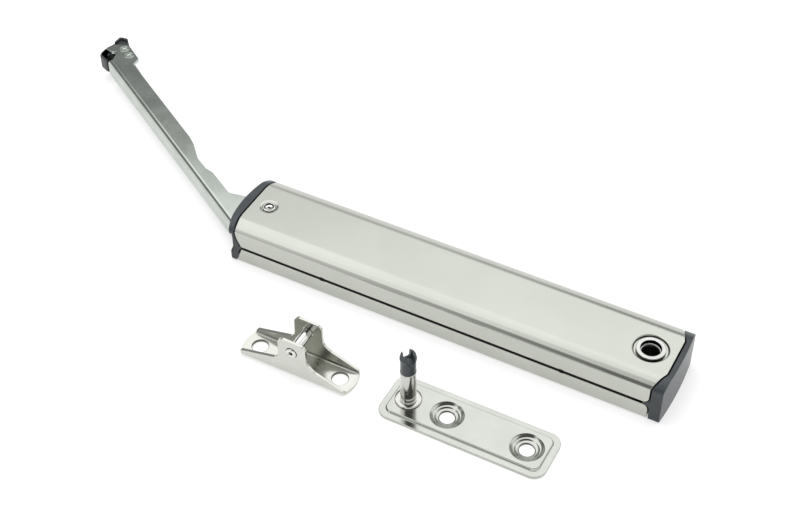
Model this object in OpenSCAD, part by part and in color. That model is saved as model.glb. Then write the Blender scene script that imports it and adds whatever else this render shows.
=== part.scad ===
// Lift-up flap stay for a cabinet: a slim steel housing with a cam and two springs, a lever arm with
// a catch, and the two fittings that it clips to. Millimetres, +Z up. The origin is on the axis of the
// rear bush, at the back face of the housing, and +X points from the arm pivot to the bush.

/* [Housing] */
// Distance from the arm pivot to the bush axis
pivot_span = 163.5; // [155:0.5:180]
// Width of the housing
housing_w = 33.2; // [32.8:0.2:36]
// Height of the housing at its flat top
housing_h = 18.8; // [18.6:0.1:20]
// How far the shoulders fall below the flat top
shoulder_drop = 2.3; // [2:0.1:2.6]
// Width of each sloping shoulder
shoulder_run = 4.8; // [4.4:0.1:5.4]
// Outside radius where the flat top bends into a shoulder
shoulder_bend = 9; // [5:0.5:10]
// Thickness of the housing sheet
sheet = 1.2; // [1:0.1:1.3]
// Height of the tray's side walls
seam_z = 7.6; // [7.2:0.1:8]
// Height of the gap between the tray's walls and the cover's walls
seam_gap = 0.9; // [0.7:0.1:1.2]
// From the arm pivot to the front edges of the side walls
front_run = 6; // [5.5:0.1:7]
// From the bush axis to the rear edges of the side walls
rear_run = 6.5; // [6.3:0.1:8]
// How far the middle of the cover reaches past its front corners
front_nose = 1.1; // [0.8:0.1:1.4]
// How far the middle of the cover reaches past its rear corners
rear_nose = 3.2; // [2.6:0.1:3.6]
// Depth of the notches that the end caps fill at the seam
seam_notch = 2.3; // [1.8:0.1:2.6]
// Length of the far wall's opening for the folded arm, past the pivot
fold_opening = 18; // [17:0.5:20]

/* [End caps] */
// Length of the front cap at its corners
front_cap_l = 2.9; // [2.5:0.1:4]
// How far the front cap's end bows out
front_bow = 2.7; // [2:0.1:3.5]
// Length of the rear cap at its corners
rear_cap_l = 5; // [4.6:0.1:7]
// How far the rear cap's end bows out
rear_bow = 0.9; // [0.5:0.1:1.5]
// Length of the plugs inside the housing
cap_plug = 4; // [3:0.5:5]

/* [Arm] */
// Direction of the arm from the pivot, in degrees from +X
arm_angle = 148.9; // [140:0.5:152]
// Distance from the pivot to the bracket pin's seat, along the arm
arm_length = 132.9; // [125:0.5:145]
// Distance from the pivot to the outer face of the arm's web
web_offset = 15.6; // [15:0.1:15.8]
// Height of the arm's channel
arm_h = 9.6; // [9.2:0.1:10]
// Width of the arm's channel
arm_w = 8.9; // [8.4:0.1:9.4]
// Thickness of the arm's sheet
arm_sheet = 1.4; // [1.2:0.1:1.6]
// Outside bend radius of the arm's channel
arm_bend = 2; // [1.6:0.1:2.2]
// Radius of the arm's hub
hub_r = 8; // [7.5:0.1:8.2]
// How far from the pivot the waist in the flanges starts
waist_start = 20.8; // [19:0.2:22]
// How far from the pivot the waist in the flanges ends
waist_end = 61.5; // [58:0.5:65]

/* [Pivot and cam] */
// Diameter of the pivot pin inside the housing
pivot_d = 7; // [6.6:0.1:7.4]
// Diameter of the pivot pin's riveted ends
pivot_end_d = 5.4; // [5:0.1:5.8]
// Outside diameter of the pivot spacers
spacer_d = 11; // [10:0.1:11.4]
// Diameter of the cam roller
roller_d = 10; // [9.4:0.1:10.4]
// Diameter of the roller pin
roller_pin_d = 4; // [3.6:0.1:4.4]
// Distance from the pivot to the roller axis in the photographed position
cam_reach = 12.85; // [12.8:0.05:13]
// How far the roller moves for each radian of the arm
cam_rise = 3; // [2.8:0.05:3]
// Degrees that the arm folds back from the photographed position
fold_travel = 120; // [100:1:120]
// Degrees that the arm opens past the photographed position
open_travel = 20; // [15:1:20]

/* [Springs] */
// Outside diameter of the springs
spring_d = 12; // [11:0.2:12.4]
// Diameter of the spring wire
spring_wire = 1.8; // [1.5:0.1:1.9]
// Turns of each spring
spring_turns = 20; // [16:1:24]
// Distance of each spring axis from the middle of the housing
spring_y = 7.3; // [7:0.1:7.6]
// Diameter of the guide rods
rod_d = 5; // [4.4:0.1:6]
// Length of the spring carriage
carriage_l = 14; // [12:0.5:18]

/* [Bush and post] */
// Bore of the rear bush
bush_bore = 6.1; // [5.8:0.1:6.4]
// Outside diameter of the bush inside the housing
bush_d = 10; // [9.6:0.1:10.6]
// Diameter of the bush's flange
bush_flange_d = 11.5; // [11:0.1:12.4]
// Diameter of the counterbore at the bush's mouth
bush_mouth_d = 8.2; // [7.6:0.1:8.6]
// Depth of that counterbore
bush_mouth_l = 1.3; // [1:0.1:2]
// Diameter of the dish in the cover round the bush
bush_dish_d = 14.1; // [13.4:0.1:15]
// Radial clearance of the post in the bush
post_gap = 0.05; // [0.03:0.01:0.1]

/* [Mounting plate] */
// Length of the mounting plate
plate_l = 66.8; // [64:0.2:72]
// Width of the mounting plate
plate_w = 21.6; // [20:0.2:26]
// Height of the plate's raised field
plate_h = 2.2; // [2:0.1:2.6]
// Thickness of the plate's sheet
plate_sheet = 1.2; // [1:0.1:1.3]
// Width of the low rim round the field
plate_rim = 1.8; // [1.4:0.1:2.2]
// Distance from the post to the plate's near end
plate_end = 8.6; // [8:0.1:10]
// Distance from the post to the first screw hole
plate_hole_x = 16; // [15:0.5:18]
// Distance between the two screw holes
plate_hole_pitch = 32; // [30:1:34]
// Diameter of the plate's screw holes
plate_hole_d = 5.8; // [5:0.1:6.2]
// Diameter of the dishes round those holes
plate_dish_d = 12.9; // [12:0.1:13.6]
// Diameter of the post's collar
collar_d = 10.2; // [9.4:0.1:11]
// Height of the post's steel above the table
post_h = 17.8; // [16:0.2:19]
// Length of the snap tip above the steel
tip_l = 9.2; // [8:0.2:11]
// Width of the slot in the snap tip
tip_slot = 2.6; // [2.2:0.1:3]

/* [Flap bracket] */
// Length of the bracket's base
bracket_l = 48; // [46:0.5:54]
// Width of the bracket over its side walls
bracket_w = 13.2; // [12.8:0.1:16]
// Thickness of the bracket's sheet
bracket_sheet = 1.2; // [1:0.1:1.4]
// Distance between the bracket's screw holes
bracket_hole_pitch = 35; // [33:0.5:38]
// Diameter of the bracket's screw holes
bracket_hole_d = 6.4; // [5.6:0.1:6.8]
// Height of the bracket's ears
ear_h = 18.8; // [18:0.1:21]
// Width of the ears
ear_w = 12; // [11:0.1:13]
// Height of the bracket pin
pin_z = 13.2; // [12.6:0.1:14]
// Diameter of the bracket pin
pin_d = 4; // [3.6:0.1:4.2]
// How far the ears stand off the middle of the bracket
ear_x = 1; // [0:0.1:1.5]

/* [Hidden] */
$fn = 48;

steel = "#cdcec6";
polished = "#dcdcd6";
dark_plastic = "#3a3f46";
black_plastic = "#1c1d1f";
zinc = "#a9aaa6";

bore_gap = 0.05;
slide_gap = 0.3;
joint_gap = 0.15;
far = 60;

half_w = housing_w / 2;
seam_top = seam_z + seam_gap;
slope = atan2(shoulder_drop, shoulder_run);
crease_z = housing_h - shoulder_drop;
ceiling = housing_h - sheet;
front_x = -pivot_span - front_run;
rear_x = rear_run;
pivot = [-pivot_span, 0, 0];

arm_z0 = (housing_h - arm_h) / 2;
arm_z1 = arm_z0 + arm_h;
slot_z0 = arm_z0 - slide_gap;
slot_z1 = arm_z1 + slide_gap;
seat_y = web_offset - 3;
free_y = web_offset - arm_w;
head_rivet_d = 2.8;
catch_pivot = [arm_length + 0.3, seat_y - 6.8];
catch_stop = [arm_length - 5.1, seat_y - 6.7];
cam_rivet_d = 2.4;
bush_neck_d = bush_d - 1;
bush_dish_z = housing_h - 0.6;
pivot_dish_l = 0.3;
cam_rivet_places = [[4.5, 9], [10.5, 3.5]];

roller_x = cam_reach - pivot_span;
fork_x = roller_x - 4.2;
block_x = roller_x + roller_d / 2 + 1.2;
block_end = block_x + carriage_l;
fold_shift = cam_rise * fold_travel * PI / 180;
open_shift = cam_rise * open_travel * PI / 180;
liner_t = 0.8;
liner_y = half_w - sheet - 0.1 - liner_t;
liner_x1 = rear_x - cap_plug - 1;
nub_places = [-pivot_span + 33.6, -27.7];
abutment_x = -17;
rod_x0 = block_x + fold_shift + 1;
spring_x0 = block_end;
spring_l = abutment_x - spring_x0;

plate_at = [-73.6, -50.3, 0];
bracket_at = [-118.8, -52.6, 0];

// Unit vector along v
function unit(v) = v / norm(v);

// Points that round corner b of the path a-b-c with radius r
function corner_arc(a, b, c, r, steps) =
    let (p = unit(a - b), q = unit(c - b), half = acos(p * q) / 2, run = r / tan(half),
        centre = b + unit(p + q) * r / sin(half),
        from = b + p * run - centre, to = b + q * run - centre,
        start = atan2(from.y, from.x), turn = (atan2(to.y, to.x) - start + 540) % 360 - 180)
    [for (i = [0:steps]) centre + r * [cos(start + turn * i / steps), sin(start + turn * i / steps)]];

// Outline through corners given as [x, y, radius]
function rounded(corners, steps = 5) =
    let (n = len(corners))
    [for (i = [0:n - 1])
        let (b = corners[i], a = corners[(i + n - 1) % n], c = corners[(i + 1) % n])
        each (b.z > 0 ? corner_arc([a.x, a.y], [b.x, b.y], [c.x, c.y], b.z, steps) : [[b.x, b.y]])];

// Arc of radius r round c from angle a0 to a1
function arc(c, r, a0, a1, steps) =
    [for (i = [0:steps]) let (a = a0 + (a1 - a0) * i / steps) c + r * [cos(a), sin(a)]];

// Cross-section of the housing as [y, z], drawn in by inset
function section(inset) =
    let (half = half_w - inset, top = housing_h - inset,
        crease = crease_z + inset * (tan(slope) - 1 / cos(slope)),
        flat = half_w - (shoulder_drop - inset + inset / cos(slope)) / tan(slope),
        foot_r = max(1 - inset, 0), crease_r = max(1.2 - inset, 0))
    rounded([[half, inset, foot_r], [half, crease, crease_r], [flat, top, shoulder_bend - inset],
        [-flat, top, shoulder_bend - inset], [-half, crease, crease_r], [-half, inset, foot_r]]);

// Extrudes a [y, z] outline from x0 to x1
module along_x(x0, x1) {
    translate([x0, 0, 0]) rotate([90, 0, 90]) linear_extrude(x1 - x0) children();
}

// Extrudes an [x, z] outline from y0 to y1
module along_y(y0, y1) {
    translate([0, y1, 0]) rotate([90, 0, 0]) linear_extrude(y1 - y0) children();
}

module housing_body(inset, x0, x1) {
    along_x(x0, x1) polygon(section(inset));
}

module from_z(z0, z1) {
    translate([0, 0, z0]) linear_extrude(z1 - z0) children();
}

module disc(d, z0, z1) {
    translate([0, 0, z0]) cylinder(d = d, h = z1 - z0);
}

module ring(outer_d, inner_d, z0, z1) {
    difference() {
        disc(outer_d, z0, z1);
        disc(inner_d, z0 - 1, z1 + 1);
    }
}

// What a rounded corner of radius r takes off, at a corner of an [x, z] outline
module corner_relief(at, side, up, r) {
    centre = [at.x - side * r, at.y + up * r];
    polygon(concat([at + [side * far, -up]], arc(centre, r, -up * 90, side > 0 ? 0 : -up * 180, 6),
        [at + [side * far, up * r]]));
}

// The space of the cover, with its bowed ends and cut-back lower corners
module cover_limits() {
    nose_y = half_w - 7.6;
    difference() {
        from_z(seam_top, housing_h + 1)
            polygon(rounded([[front_x, half_w + 1, 0], [front_x, half_w, 1],
                [front_x - front_nose, nose_y, 3], [front_x - front_nose, -nose_y, 3],
                [front_x, -half_w, 1], [front_x, -half_w - 1, 0],
                [rear_x, -half_w - 1, 0], [rear_x, -half_w, 0.5],
                [rear_x + rear_nose, -nose_y, 1], [rear_x + rear_nose, nose_y, 1],
                [rear_x, half_w, 0.5], [rear_x, half_w + 1, 0]]));
        along_y(-far, far) {
            polygon(rounded([[front_x - 9, seam_top - 1, 0], [front_x + seam_notch, seam_top - 1, 0],
                [front_x + seam_notch, seam_top, 0], [front_x, crease_z - 3, 9],
                [front_x, crease_z, 0], [front_x - 9, crease_z, 0]]));
            corner_relief([rear_x, seam_top], 1, 1, seam_notch);
        }
    }
}

// The space of the tray, with its cut-back upper corners
module tray_limits() {
    difference() {
        along_y(-half_w - 1, half_w + 1)
            polygon([[front_x, -1], [front_x, 0.8], [front_x + seam_notch, seam_z],
                [rear_x, seam_z], [rear_x, -1]]);
        along_y(-far, far) corner_relief([rear_x, seam_z], 1, -1, seam_notch);
    }
}

// The opening for the arm: across the front end and along the far wall
module arm_opening(x1) {
    translate([front_x - far, 0, slot_z0]) cube([x1 - front_x + far, far, slot_z1 - slot_z0]);
}

// Places along the seam where the liners show through
module seam_nubs(gap) {
    for (x = nub_places, side = [-1, 1])
        translate([x, side * (half_w - 0.8), (seam_z + seam_top) / 2])
            cube([2 + 2 * gap, 1.6 + 2 * gap, seam_gap + 0.8 + 2 * gap], center = true);
}

module back_tray() {
    color(steel) difference() {
        intersection() {
            difference() {
                housing_body(0, front_x, rear_x);
                housing_body(sheet, front_x - 1, rear_x + 1);
            }
            tray_limits();
        }
        translate([0, half_w - sheet - 1, 0]) arm_opening(-pivot_span + fold_opening);
        translate(pivot) disc(pivot_end_d + 2 * bore_gap, -1, sheet + 1);
        disc(bush_neck_d + 2 * bore_gap, -1, sheet + 1);
        seam_nubs(bore_gap);
    }
}

module top_cover() {
    color(steel) difference() {
        intersection() {
            difference() {
                housing_body(0, front_x - front_nose, rear_x + rear_nose);
                housing_body(sheet, front_x - 9, rear_x + 9);
            }
            cover_limits();
        }
        translate([0, half_w - sheet - 1, 0]) arm_opening(-pivot_span + fold_opening);
        translate(pivot) {
            disc(pivot_end_d + 2 * bore_gap, ceiling - 1, housing_h + 1);
            disc(pivot_end_d + 2.4, housing_h - pivot_dish_l, housing_h + 1);
        }
        disc(bush_neck_d + 2 * bore_gap, ceiling - 1, housing_h + 1);
        disc(bush_dish_d, bush_dish_z, housing_h + 1);
        seam_nubs(bore_gap);
    }
}

// Plan of an end cap: the arc that bows out by bow from x at the corners, towards side
function bow_plan(x, side, bow, inner_x) =
    let (r = (half_w * half_w + bow * bow) / (2 * bow), reach = asin(half_w / r),
        centre = [x + side * (bow - r), 0])
    concat([[inner_x, half_w]],
        [for (i = [-8:8]) centre + r * [side * cos(reach * i / 8), -sin(reach * i / 8)]],
        [[inner_x, -half_w]]);

module front_end_cap() {
    post_x = front_x - 1.5;
    wall_y = half_w - sheet;
    color(dark_plastic) difference() {
        union() {
            difference() {
                intersection() {
                    housing_body(0, front_x - far / 2, front_x + seam_notch);
                    from_z(0, housing_h + 1)
                        polygon(bow_plan(front_x - front_cap_l, -1, front_bow, front_x + seam_notch));
                }
                translate([-joint_gap, 0, 0]) {
                    cover_limits();
                    tray_limits();
                }
            }
            housing_body(sheet + joint_gap, front_x - front_nose - 1, front_x + cap_plug);
        }
        translate([0, -far, 0]) arm_opening(post_x);
        translate([0, -wall_y, 0]) arm_opening(front_x + far);
        translate([0, wall_y - joint_gap - 1, 0]) arm_opening(front_x + far);
        translate(pivot) disc(spacer_d + 1, -1, housing_h + 1);
    }
}

module rear_end_cap() {
    color(dark_plastic) difference() {
        union() {
            difference() {
                intersection() {
                    housing_body(0, rear_x - seam_notch, rear_x + far / 2);
                    from_z(0, housing_h + 1)
                        polygon(bow_plan(rear_x + rear_cap_l, 1, rear_bow, rear_x - seam_notch));
                }
                translate([joint_gap, 0, 0]) {
                    cover_limits();
                    tray_limits();
                }
            }
            housing_body(sheet + joint_gap, rear_x - cap_plug, rear_x + rear_nose + 1);
        }
        disc(bush_d + 1, -1, housing_h + 1);
    }
}

module pivot_bush() {
    bore_r = bush_bore / 2;
    neck_r = bush_neck_d / 2;
    lip = bush_dish_z;
    top = housing_h + 0.1;
    color(polished) rotate_extrude() polygon([[bore_r, 0], [neck_r, 0], [neck_r, sheet],
        [bush_d / 2, sheet], [bush_d / 2, ceiling], [neck_r, ceiling], [neck_r, lip],
        [bush_flange_d / 2, lip], [bush_flange_d / 2, top - 0.2], [bush_flange_d / 2 - 0.2, top],
        [bush_mouth_d / 2 + 0.2, top], [bush_mouth_d / 2, top - 0.2],
        [bush_mouth_d / 2, top - bush_mouth_l], [bore_r, top - bush_mouth_l]]);
}

module arm_pivot_pin() {
    end_r = pivot_end_d / 2;
    color(polished) translate(pivot) difference() {
        rotate_extrude() polygon([[0, 0], [end_r, 0], [end_r, sheet], [pivot_d / 2, sheet],
            [pivot_d / 2, ceiling], [end_r, ceiling], [end_r, housing_h - 0.1],
            [end_r - 0.3, housing_h], [end_r - 0.5, housing_h], [end_r - 0.9, housing_h - 0.4],
            [end_r - 1.2, housing_h - 0.1], [0, housing_h - 0.1]]);
        translate([0, 0, housing_h - 0.9]) cylinder(d = 0.9, h = 2);
    }
}

module pivot_spacers() {
    inner_d = pivot_d + 2 * bore_gap;
    color(dark_plastic) translate(pivot) {
        ring(spacer_d, inner_d, sheet, arm_z0 - bore_gap);
        ring(spacer_d, inner_d, arm_z1 + bore_gap, ceiling);
    }
}

module side_liners() {
    liner_top = crease_z - 1.8;
    starts = [-pivot_span - front_run + cap_plug + 0.3, -pivot_span + fold_opening + 1];
    color(black_plastic) for (side = [-1, 1]) {
        x0 = side < 0 ? starts[0] : starts[1];
        y0 = side < 0 ? -liner_y - liner_t : liner_y;
        translate([x0, y0, sheet + 0.1]) cube([liner_x1 - x0, liner_t, liner_top - sheet - 0.1]);
        translate([x0, side < 0 ? -half_w + 0.5 : liner_y + 0.1, seam_z + bore_gap])
            cube([liner_x1 - x0, half_w - 0.6 - liner_y, seam_gap - 2 * bore_gap]);
    }
    color(black_plastic) intersection() {
        seam_nubs(0);
        housing_body(0, -pivot_span, 0);
    }
}

module spring_abutment() {
    color(zinc) difference() {
        intersection() {
            housing_body(sheet + 0.1, abutment_x, -1);
            translate([abutment_x, -liner_y + slide_gap, 0])
                cube([far, 2 * (liner_y - slide_gap), housing_h]);
        }
        disc(bush_d + 2 * bore_gap, -1, housing_h + 1);
        for (side = [-1, 1]) rod_bore(side, rod_d + 2 * bore_gap, abutment_x - 1, abutment_x + 8);
    }
}

// Cylinder along a spring's axis
module rod_bore(side, d, x0, x1) {
    translate([x0, side * spring_y, housing_h / 2]) rotate([0, 90, 0]) cylinder(d = d, h = x1 - x0);
}

module guide_rods() {
    color(polished) for (side = [-1, 1]) rod_bore(side, rod_d, rod_x0, abutment_x + 8);
}

// Helix with closed ends: place along the axis after a number of turns
function spring_place(turn) =
    let (closed = spring_wire + 0.6, free = (spring_l - spring_wire - 2 * closed) / (spring_turns - 2))
    spring_wire / 2 + (turn < 1 ? closed * turn
        : turn < spring_turns - 1 ? closed + free * (turn - 1)
        : closed + free * (spring_turns - 2) + closed * (turn - spring_turns + 1));

// Point at r from the wire's middle: turn along the helix, at an angle round the wire
function spring_point(turn, around, r) =
    let (reach = (spring_d - spring_wire) / 2 + r * cos(around), a = 360 * turn)
    [spring_place(turn) + r * sin(around), reach * cos(a), reach * sin(a)];

rings_per_turn = 8;
wire_sides = 6;

module coil_spring(side) {
    rings = spring_turns * rings_per_turn;
    points = [for (i = [0:rings], j = [0:wire_sides - 1])
        spring_point(i / rings_per_turn, 360 * j / wire_sides, spring_wire / 2)];
    skin = [for (i = [0:rings - 1], j = [0:wire_sides - 1])
        let (a = i * wire_sides, k = (j + 1) % wire_sides)
        each [[a + j, a + k, a + wire_sides + k], [a + j, a + wire_sides + k, a + wire_sides + j]]];
    last = rings * wire_sides;
    ends = [for (j = [1:wire_sides - 2])
        each [[0, j + 1, j], [last, last + j, last + j + 1]]];
    middle = [for (i = [0:rings]) spring_point(i / rings_per_turn, 0, 0)];
    echo(least_gap_in_spring = min([for (i = [0:rings], j = [i + rings_per_turn / 2:1:rings])
        norm(middle[i] - middle[j])]) - spring_wire);
    translate([spring_x0, side * spring_y, housing_h / 2]) polyhedron(points, concat(skin, ends));
}

module coil_spring_near() {
    color(zinc) coil_spring(-1);
}

module coil_spring_far() {
    color(zinc) coil_spring(1);
}

// Moves a piece from the arm's own frame, along +X from the pivot, to where the arm points
module on_arm() {
    translate(pivot) rotate([0, 0, arm_angle]) children();
}

// Corner of the arm's head, from the pin's seat
function head(dx, dy, r) = [arm_length + dx, seat_y + dy, r];

// Plan of the arm's two flanges
arm_outline = rounded([[3, web_offset, 0], [-hub_r * 0.95, hub_r * 0.3, 0], [0, 0, 0],
    [hub_r * 0.7, -hub_r * 0.71, 0], [waist_start, free_y + 1.4, 3],
    [waist_start + 14.9, free_y + 1.6, 5], [waist_start + 18.6, free_y + 2.9, 3],
    [waist_end - 14.5, free_y + 3.1, 5], [waist_end - 4.9, free_y + 0.5, 8], [waist_end, free_y, 12],
    [arm_length - 11.9, free_y, 0.4], head(-9.6, -9.5, 0.8), head(2.4, -9.8, 3), head(6.4, -3.8, 2),
    head(5.6, 0.1, 0.5), head(2.2, -0.5, 0.8), head(0.4, -3.4, 0.8), head(-4.4, 1.2, 0.5),
    [arm_length - 2.7, web_offset, 0]]);

module lever_arm() {
    inner_z0 = arm_z0 + arm_sheet;
    inner_z1 = arm_z1 - arm_sheet;
    color(steel) on_arm() difference() {
        union() {
            from_z(arm_z0, arm_z1) polygon(arm_outline);
            translate([0, 0, arm_z0]) cylinder(r = hub_r, h = arm_h);
        }
        translate([-far, -far, inner_z0])
            cube([arm_length + 2 * far, far + web_offset - arm_sheet, inner_z1 - inner_z0]);
        translate([0, 0, arm_z0 - 1]) cylinder(d = pivot_d + 2 * bore_gap, h = arm_h + 2);
        along_x(-far, arm_length + far) {
            corner_relief([web_offset, arm_z0], 1, 1, arm_bend);
            corner_relief([web_offset, arm_z1], 1, -1, arm_bend);
        }
        for (at = [catch_pivot, catch_stop]) translate([at.x, at.y, arm_z0 - 1])
            cylinder(d = head_rivet_d + 2 * bore_gap, h = arm_h + 2);
        for (at = cam_rivet_places) translate([at.x, at.y, arm_z0 - 1])
            cylinder(d = cam_rivet_d + 2 * bore_gap, h = arm_h + 2);
    }
}

// Point of the cam's edge where the roller touches it, at angle a in the arm's frame
function cam_point(a) =
    let (reach = cam_reach + cam_rise * (a + arm_angle) * PI / 180,
        out = [cos(a), sin(a)], along = [-sin(a), cos(a)],
        inward = unit([-(cam_rise * out.y + reach * along.y), cam_rise * out.x + reach * along.x]))
    reach * out + (roller_d / 2 + bore_gap) * inward;

module arm_cam() {
    low = -arm_angle - open_travel - 7;
    high = -arm_angle + fold_travel + 7;
    cam_z0 = arm_z0 + arm_sheet;
    color(zinc) on_arm() difference() {
        from_z(cam_z0 + bore_gap, arm_z1 - arm_sheet - bore_gap)
            polygon(concat([for (i = [1:47]) cam_point(low + (high - low) * i / 48)],
                rounded([concat(cam_point(high), 0), [13.6, 1.5, 3], [12.6, 6.5, 2.5],
                    [6.5, 11.6, 2.5], [2.5, 11.6, 2.5], [-5, 6.5, 4], concat(cam_point(low), 0)])));
        translate([0, 0, arm_z0]) cylinder(d = pivot_d + 2 * bore_gap, h = arm_h);
        for (at = cam_rivet_places) translate([at.x, at.y, arm_z0])
            cylinder(d = cam_rivet_d + 2 * bore_gap, h = arm_h);
    }
}

// Rivet through the arm with low domed ends
module arm_rivet(at, d, proud) {
    r = d / 2;
    translate([at.x, at.y, 0]) rotate_extrude() polygon([[0, arm_z0 - proud],
        [r * 0.6, arm_z0 - proud], [r, arm_z0], [r, arm_z1], [r * 0.6, arm_z1 + proud],
        [0, arm_z1 + proud]]);
}

module cam_rivets() {
    color(polished) on_arm() for (at = cam_rivet_places) arm_rivet(at, cam_rivet_d, 0.1);
}

module head_rivets() {
    color(polished) on_arm() for (at = [catch_pivot, catch_stop]) arm_rivet(at, head_rivet_d, 0.3);
}

hook_hollow = 4.5;

module catch() {
    z0 = arm_z0 + arm_sheet + 0.2;
    z1 = arm_z1 - arm_sheet - 0.2;
    outline = rounded([head(0.3, -9.6, 0), head(8.2, -11.6, 1), head(11.1, -9.2, 1.2),
        head(8.8, -5, 3), head(7.9, -1.2, 3), head(5.9, 2.4, 2), head(3.9, 4, 1.2),
        head(0.2, 3.5, 0.8), head(-1.6, 3, 0.4), head(-1.4, 2.2, 0.2), head(1.2, 1.2, 0),
        head(1.5, -3.6, 0), head(-1.5, -3.6, 0), head(-3, -1, 0.6), head(-4.6, -0.9, 0.6),
        head(-6.6, -2.6, 1), head(-6.2, -5.1, 0), head(-2.8, -5.1, 0), head(-2.2, -7.4, 0)]);
    color(black_plastic) on_arm() difference() {
        union() {
            from_z(z0, z1) polygon(outline);
            translate([catch_pivot.x, catch_pivot.y, z0]) cylinder(r = 2.9, h = z1 - z0);
        }
        translate([arm_length, seat_y, z0 - 1]) cylinder(d = pin_d + 0.3, h = arm_h);
        translate([catch_pivot.x, catch_pivot.y, z0 - 1])
            cylinder(d = head_rivet_d + 2 * bore_gap, h = arm_h);
        // hollow in the hook
        hull() for (at = [head(3.9, 1.6), head(5.6, -0.6)])
            translate([at.x, at.y, z1 - hook_hollow]) cylinder(r = 1.2, h = arm_h);
    }
}

module spring_carriage() {
    lower = sheet + slide_gap;
    fork_y = roller_d / 2 + 1.2;
    color(dark_plastic) difference() {
        intersection() {
            union() {
                translate([block_x, -far, 0]) cube([carriage_l, 2 * far, housing_h]);
                for (z = [[lower, slot_z0 - 0.1], [slot_z1 + 0.1, housing_h]])
                    translate([fork_x, -fork_y, z[0]])
                        cube([block_x - fork_x + 1, 2 * fork_y, z[1] - z[0]]);
            }
            housing_body(sheet + slide_gap, fork_x, block_end);
            translate([fork_x, -liner_y + slide_gap, 0])
                cube([far, 2 * (liner_y - slide_gap), housing_h]);
        }
        translate([roller_x, 0, lower + 0.8])
            cylinder(d = roller_pin_d + 2 * bore_gap, h = ceiling - sheet - 2 * slide_gap - 1.6);
        for (side = [-1, 1]) rod_bore(side, rod_d + 0.2, block_x - 1, block_end + 1);
    }
}

module roller_pin() {
    z0 = sheet + slide_gap + 0.8;
    color(polished) translate([roller_x, 0, z0])
        cylinder(d = roller_pin_d, h = ceiling - sheet - 2 * slide_gap - 1.6);
}

module cam_roller() {
    inner_r = roller_pin_d / 2 + bore_gap;
    neck_r = inner_r + 1;
    z0 = arm_z0 + arm_sheet + 0.3;
    z1 = arm_z1 - arm_sheet - 0.3;
    color(polished) translate([roller_x, 0, 0]) rotate_extrude() polygon([[inner_r, slot_z0],
        [neck_r, slot_z0], [neck_r, z0], [roller_d / 2, z0], [roller_d / 2, z1], [neck_r, z1],
        [neck_r, slot_z1], [inner_r, slot_z1]]);
}

// Plan of the mounting plate, drawn in by inset, with the post at the origin
function plate_plan(inset) =
    let (x0 = inset - plate_end, x1 = plate_l - plate_end - inset, y = plate_w / 2 - inset,
        r = max(4 - inset, 1))
    rounded([[x0, -y, r], [x1, -y, r], [x1, y, r], [x0, y, r]]);

plate_holes = [plate_hole_x, plate_hole_x + plate_hole_pitch];

module mounting_plate() {
    step = plate_h - plate_sheet;
    wall = plate_sheet * 0.8;
    seat_d = plate_hole_d + 3;
    color(steel) translate(plate_at) difference() {
        union() {
            difference() {
                union() {
                    from_z(0, plate_sheet) polygon(plate_plan(0));
                    from_z(0, plate_h) polygon(plate_plan(plate_rim));
                }
                translate([0, 0, -1]) linear_extrude(step + 1)
                    polygon(plate_plan(plate_rim + wall));
            }
            for (x = plate_holes) translate([x, 0, 0])
                cylinder(d1 = seat_d + 2 * wall, d2 = plate_dish_d + 0.2, h = plate_h - 0.3);
        }
        for (x = plate_holes) translate([x, 0, 0]) {
            translate([0, 0, -1]) cylinder(d = plate_hole_d, h = plate_h + 2);
            translate([0, 0, plate_sheet])
                cylinder(d1 = seat_d, d2 = plate_dish_d - 1.2, h = step - 0.3);
            translate([0, 0, plate_h - 0.3])
                cylinder(d1 = plate_dish_d - 1.2, d2 = plate_dish_d, h = 0.31);
        }
        disc(shank_d + 2 * bore_gap, -1, plate_h + 1);
    }
}

post_d = bush_bore - 2 * post_gap;
shank_d = post_d - 0.8;
collar_z = plate_h + 0.8;
neck_z = collar_z + 0.4;
tip_stem_d = 3;
tip_stem_l = 6;

module pivot_post() {
    r = post_d / 2;
    shank_r = shank_d / 2;
    foot = plate_h - plate_sheet;
    color(polished) translate(plate_at) difference() {
        rotate_extrude() polygon([[0, foot - 0.7], [shank_r + 0.6, foot - 0.7], [shank_r + 1, foot],
            [shank_r, foot], [shank_r, plate_h], [collar_d / 2, plate_h],
            [collar_d / 2, collar_z - 0.3], [collar_d / 2 - 0.3, collar_z], [shank_r, collar_z],
            [shank_r, neck_z], [r, neck_z], [r, post_h - 0.3], [r - 0.3, post_h], [0, post_h]]);
        translate([0, 0, post_h - tip_stem_l])
            cylinder(d = tip_stem_d + 2 * bore_gap, h = tip_stem_l + 1);
    }
}

module snap_tip() {
    r = post_d / 2 - 0.25;
    hook_r = post_d / 2 + 0.04;
    top = post_h + tip_l;
    root = post_h + tip_l * 0.62;
    color(black_plastic) translate(plate_at) difference() {
        union() {
            translate([0, 0, post_h - tip_stem_l + 0.2]) cylinder(d = tip_stem_d, h = tip_stem_l);
            rotate_extrude() polygon([[0, post_h], [r, post_h], [r, top - 3.2], [hook_r, top - 2.6],
                [hook_r, top - 1.6], [r - 0.2, top], [1.5, top], [1.5, root], [0, root]]);
        }
        rotate([0, 0, 135]) {
            translate([-far, -tip_slot / 2, root + tip_slot / 2]) cube([2 * far, tip_slot, tip_l]);
            translate([-far, 0, root + tip_slot / 2]) rotate([0, 90, 0])
                cylinder(d = tip_slot, h = 2 * far);
        }
    }
}

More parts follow.
